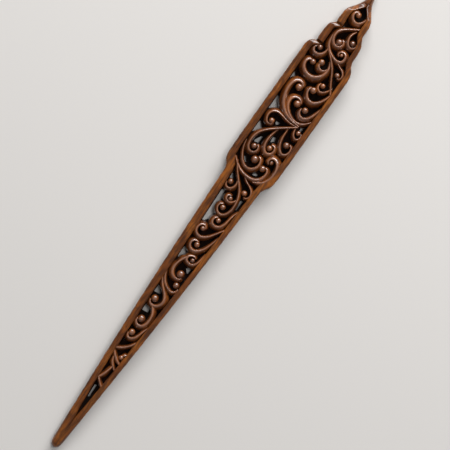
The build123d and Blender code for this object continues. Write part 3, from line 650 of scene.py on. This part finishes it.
add_scrolls({
    "fan_spine": (
        [(4.7, 39.0), (2.6, 37.5), (0.4, 35.8), (-1.8, 34.0), (-3.7, 32.2), (-4.9, 30.5), (-5.5, 28.4),
         (-5.4, 26.3), (-4.8, 24.7), (-3.5, 24.0), (-2.2, 24.5), (-1.7, 25.9), (-2.2, 27.0),
         (-3.0, 27.2)],
        (1.1, 1.6, 1.0), (4.5, 4.8, 3.9), (-3.4, 26.2, 0.95, 4.5)),
    "fan_back_curl": (
        [(4.2, 38.9), (2.0, 38.7), (0.0, 38.9), (-1.8, 39.4), (-3.6, 39.6), (-5.0, 38.9), (-5.7, 37.4),
         (-5.4, 35.8), (-4.4, 34.7), (-3.2, 34.9), (-2.6, 35.9)],
        (0.9, 1.5, 0.9), (4.1, 4.5, 3.8), (-3.5, 36.1, 0.95, 4.5)),
    "fan_middle_curl": (
        [(0.1, 35.6), (-0.6, 33.6), (-1.0, 31.6), (-1.1, 29.6), (-0.6, 27.6), (0.8, 26.3), (2.3, 26.7),
         (2.9, 28.2), (2.4, 29.6), (1.4, 29.9), (0.8, 29.5)],
        (0.9, 1.7, 1.0), (4.0, 4.5, 3.9), (1.1, 28.4, 0.95, 4.4)),
    "fan_right_curl": (
        [(2.3, 37.4), (2.4, 35.2), (2.5, 33.2), (3.0, 31.4), (4.0, 29.7), (5.4, 28.9), (6.7, 29.6),
         (7.1, 31.2), (6.7, 32.6), (5.7, 33.2)],
        (0.9, 1.5, 1.0), (4.0, 4.5, 3.8), (5.0, 32.2, 1.1, 4.6)),
    "fan_knot_curl": (
        [(4.2, 39.3), (4.3, 37.5), (4.9, 36.0), (6.1, 35.3), (7.1, 36.0), (7.2, 37.2), (6.8, 38.1)],
        (1.0, 1.2, 0.8), (4.1, 4.4, 3.8), (5.9, 37.6, 0.85, 4.4)),
})

# ---- Basket and neck scrolls -----------------------------------------------------------------------
# The curls that fill the foot of the head like a basket with a handle, and the vine that leads from
# there through the neck into the blade.

add_scrolls({
    "basket_volute": (
        [(-6.6, 26.6), (-6.2, 24.4), (-5.4, 22.5), (-4.2, 20.7), (-2.7, 19.4), (-1.0, 19.0), (0.6, 19.8),
         (1.5, 21.4), (1.4, 23.0), (0.6, 24.2), (-0.4, 24.4)],
        (0.9, 1.5, 1.3), (4.1, 4.5, 4.0), (-0.7, 22.8, 1.3, 4.7)),
    "basket_curl": (
        [(-6.5, 20.3), (-5.1, 19.0), (-3.6, 17.9), (-1.8, 17.2), (0.2, 16.8), (2.2, 16.9), (3.8, 17.7),
         (4.8, 19.2), (5.1, 21.0), (4.5, 22.4), (3.4, 22.7)],
        (1.3, 1.8, 1.2), (4.0, 4.7, 4.0), (3.1, 21.7, 1.1, 4.6)),
    "basket_handle": (
        [(2.8, 16.4), (4.9, 17.2), (6.4, 18.8), (7.1, 21.0), (7.1, 23.2), (6.6, 25.1), (5.5, 26.3),
         (4.1, 26.5), (3.1, 25.5), (3.2, 24.3), (4.0, 23.7)],
        (1.5, 2.1, 1.0), (4.3, 4.9, 4.2), (4.3, 24.9, 0.8, 4.2)),
    "neck_curl_right": (
        [(-0.9, 17.2), (0.9, 15.6), (2.4, 14.9), (3.9, 14.2), (4.9, 12.9), (4.9, 11.4), (4.1, 10.6),
         (3.1, 10.7)],
        (0.9, 1.2, 0.9), (4.0, 4.4, 3.8), (2.9, 11.9, 0.95, 4.5)),
    "neck_vine": (
        [(-5.2, 19.6), (-3.9, 17.6), (-2.5, 15.8), (-1.0, 14.2), (0.6, 12.4), (1.8, 10.4), (2.5, 8.2),
         (2.7, 5.8), (2.3, 3.6), (1.2, 2.2), (-0.2, 1.9), (-1.5, 2.8), (-1.9, 4.2), (-1.3, 5.3),
         (-0.3, 5.5)],
        (1.1, 1.5, 1.0), (4.3, 4.6, 3.9), (-0.15, 4.3, 0.95, 4.5)),
    "neck_curl_left": (
        [(-1.6, 15.0), (-0.9, 13.4), (-0.9, 11.8), (-1.7, 10.6), (-2.9, 10.3), (-3.9, 11.1),
         (-4.0, 12.2)],
        (0.9, 1.3, 0.9), (4.0, 4.3, 3.8), (-2.95, 12.6, 0.9, 4.5)),
    "vine_curl": (
        [(2.4, 9.2), (1.7, 7.6), (0.5, 6.7), (-0.8, 7.0), (-1.3, 8.1), (-0.7, 9.0), (0.3, 9.0)],
        (0.8, 1.3, 0.9), (3.9, 4.4, 3.9), (0.15, 8.0, 0.8, 4.2)),
})

# ---- Blade scrolls ---------------------------------------------------------------------------------
# The chain of curls down the blade, each smaller than the last, and the plain bars that cross the
# slot where it gets too narrow for a curl.

add_scrolls({
    "blade_curl_1": (
        [(4.9, 5.8), (4.1, 3.8), (3.8, 1.7), (3.5, -0.2), (2.6, -1.7), (1.1, -2.3), (-0.2, -1.8),
         (-0.6, -0.5), (-0.1, 0.6), (0.9, 0.9)],
        (1.1, 1.7, 1.0), (4.0, 4.5, 3.9), (1.15, 0.0, 0.85, 4.4)),
    "blade_curl_2": (
        [(4.7, -1.4), (3.4, -3.4), (2.2, -5.3), (0.7, -7.0), (-1.1, -7.7), (-2.7, -7.0), (-3.3, -5.5),
         (-2.9, -4.2), (-1.8, -3.5), (-0.8, -3.9), (-0.5, -4.9)],
        (1.2, 1.6, 1.0), (4.2, 4.5, 3.9), (-1.45, -4.9, 0.85, 4.4)),
    "blade_curl_3": (
        [(4.5, -4.5), (3.9, -7.0), (3.2, -9.2), (2.2, -11.1), (0.8, -12.4), (-0.9, -12.5), (-2.1, -11.3),
         (-2.0, -9.9), (-1.0, -9.1), (0.3, -9.2)],
        (1.1, 1.8, 1.0), (4.0, 4.5, 3.9), (0.0, -10.25, 0.95, 4.3)),
    "blade_curl_4": (
        [(4.2, -11.2), (3.9, -13.4), (3.6, -15.2), (2.8, -16.5), (1.3, -16.8), (-0.1, -16.1),
         (-0.2, -14.9), (0.8, -14.0), (2.0, -13.8), (2.6, -14.5)],
        (1.1, 1.6, 0.9), (4.0, 4.5, 3.9), (1.8, -15.2, 0.75, 4.1)),
    "blade_curl_5": (
        [(0.0, -14.8), (-1.1, -16.4), (-1.7, -18.2), (-2.1, -20.1), (-1.6, -21.8), (-0.4, -22.9),
         (1.1, -23.1), (2.2, -22.5), (2.4, -21.8)],
        (1.6, 2.0, 1.2), (4.2, 4.5, 3.9), (1.25, -21.0, 1.3, 4.6)),
    "blade_curl_6": (
        [(-3.4, -21.8), (-2.6, -24.2), (-1.3, -26.0), (0.4, -27.1), (2.1, -27.5), (3.3, -26.7),
         (3.4, -25.4)],
        (1.1, 1.6, 1.0), (4.1, 4.5, 3.9), (2.2, -24.8, 1.05, 4.5)),
    "blade_curl_7": (
        [(-3.1, -24.8), (-1.9, -26.7), (-0.3, -28.2), (1.2, -29.6), (2.0, -31.3), (1.7, -33.0),
         (0.5, -34.2), (-1.1, -34.4), (-2.1, -33.5), (-2.2, -32.7)],
        (1.3, 2.0, 1.1), (4.1, 4.6, 3.9), (-1.0, -32.1, 1.25, 4.5)),
    "blade_curl_8": (
        [(-0.6, -34.2), (0.9, -35.7), (1.6, -37.6), (1.75, -39.5), (1.3, -41.2), (0.1, -42.3),
         (-1.3, -42.1), (-2.1, -40.9), (-1.8, -39.8)],
        (1.5, 2.0, 1.1), (4.1, 4.5, 3.9), (-0.8, -39.9, 1.3, 4.5)),
    "blade_curl_9": (
        [(2.8, -41.2), (2.0, -43.4), (1.6, -45.2), (0.8, -46.7), (-0.5, -47.3), (-1.6, -46.6),
         (-1.8, -45.4)],
        (1.2, 1.7, 1.1), (4.0, 4.4, 3.8), (-0.8, -45.2, 1.15, 4.3)),
    "blade_curl_10": (
        [(2.7, -52.1), (1.6, -52.7), (0.9, -53.5)],
        (1.2, 1.4, 1.2), (3.7, 3.9, 3.7), (1.25, -53.9, 0.85, 4.1)),
    "upper_bar": (
        [(2.9, -46.4), (1.6, -48.9), (0.3, -50.4), (-1.1, -51.5), (-2.7, -52.2)],
        (1.3, 1.6, 1.7), (3.9, 4.3, 4.0), None),
    "middle_bar": (
        [(-2.3, -52.7), (-0.9, -54.3), (0.6, -55.4), (2.4, -56.3)],
        (1.7, 1.9, 1.5), (3.8, 4.0, 3.8), None),
    "lower_bar": (
        [(-1.1, -54.8), (-0.5, -56.4), (0.6, -57.6), (2.1, -58.8)],
        (1.2, 1.5, 1.3), (3.7, 3.9, 3.7), None),
    "slot_stem": (
        [(0.6, -57.5), (0.25, -58.9), (-0.1, -60.5), (-0.7, -62.1), (-1.7, -63.6)],
        (1.5, 1.9, 1.5), (3.6, 3.9, 3.7), None),
    "slot_bar": (
        [(-1.5, -62.6), (-0.5, -63.7), (0.7, -64.7), (1.9, -65.6)],
        (1.4, 1.5, 1.6), (3.7, 3.9, 3.7), None),
})

# ---- Table, light and camera -----------------------------------------------------------------------
# The pin lies on a plain pale table. A broad low window beyond its head gives the shine and most of the
# light, and a small soft light high over its right side lights the table. The camera looks straight
# down.

VIEW_CENTRE = (0.0037, 0.0001)
VIEW_WIDTH = 0.14413
VIEW_HEIGHT = 0.60
VIEW_TURN = math.radians(35.4)
SENSOR = 36
TABLE_REACH = 2.0


def soft_light(name, place, size, power, glossy=True):
    """A rectangular soft light at a place in metres, aimed at the pin's middle."""
    data = bpy.data.lights.new(name, "AREA")
    data.shape = "RECTANGLE"
    data.size, data.size_y = size
    data.energy = power
    light = bpy.data.objects.new(name, data)
    bpy.context.collection.objects.link(light)
    light.location = place
    light.rotation_euler = (-Vector(place)).to_track_quat("-Z", "Y").to_euler()
    light.visible_glossy = glossy


camera_data = bpy.data.cameras.new("camera")
camera_data.sensor_width = SENSOR
camera_data.lens = SENSOR * VIEW_HEIGHT / VIEW_WIDTH
camera_data.clip_start = 0.01
camera = bpy.data.objects.new("camera", camera_data)
bpy.context.collection.objects.link(camera)
camera.location = (*VIEW_CENTRE, VIEW_HEIGHT + 0.004)     # the view is measured on the carved face
camera.rotation_euler = (0, 0, VIEW_TURN)
bpy.context.scene.camera = camera

table_mesh = bpy.data.meshes.new("table")
table_corners = [(-TABLE_REACH, -TABLE_REACH, 0), (TABLE_REACH, -TABLE_REACH, 0),
                 (TABLE_REACH, TABLE_REACH, 0), (-TABLE_REACH, TABLE_REACH, 0)]
table_mesh.from_pydata(table_corners, [], [(0, 1, 2, 3)])
table = bpy.data.objects.new("table", table_mesh)
bpy.context.collection.objects.link(table)
table_paint = bpy.data.materials.new("pale table")
table_paint.use_nodes = True
paint_surface = table_paint.node_tree.nodes["Principled BSDF"]
paint_surface.inputs["Base Color"].default_value = (0.66, 0.64, 0.62, 1)
paint_surface.inputs["Roughness"].default_value = 0.8
table_mesh.materials.append(table_paint)

soft_light("ceiling light", (0.26, 0.26, 1.05), size=(0.30, 0.30), power=3.2, glossy=False)
soft_light("window light", (-0.17, 0.85, 0.50), size=(1.0, 0.36), power=14.4)

world = bpy.data.worlds.new("room")
world.use_nodes = True
room_light = world.node_tree.nodes["Background"]
room_light.inputs["Color"].default_value = (1.0, 0.99, 0.97, 1)
room_light.inputs["Strength"].default_value = 0.22
bpy.context.scene.world = world
bpy.context.scene.view_settings.view_transform = "Standard"
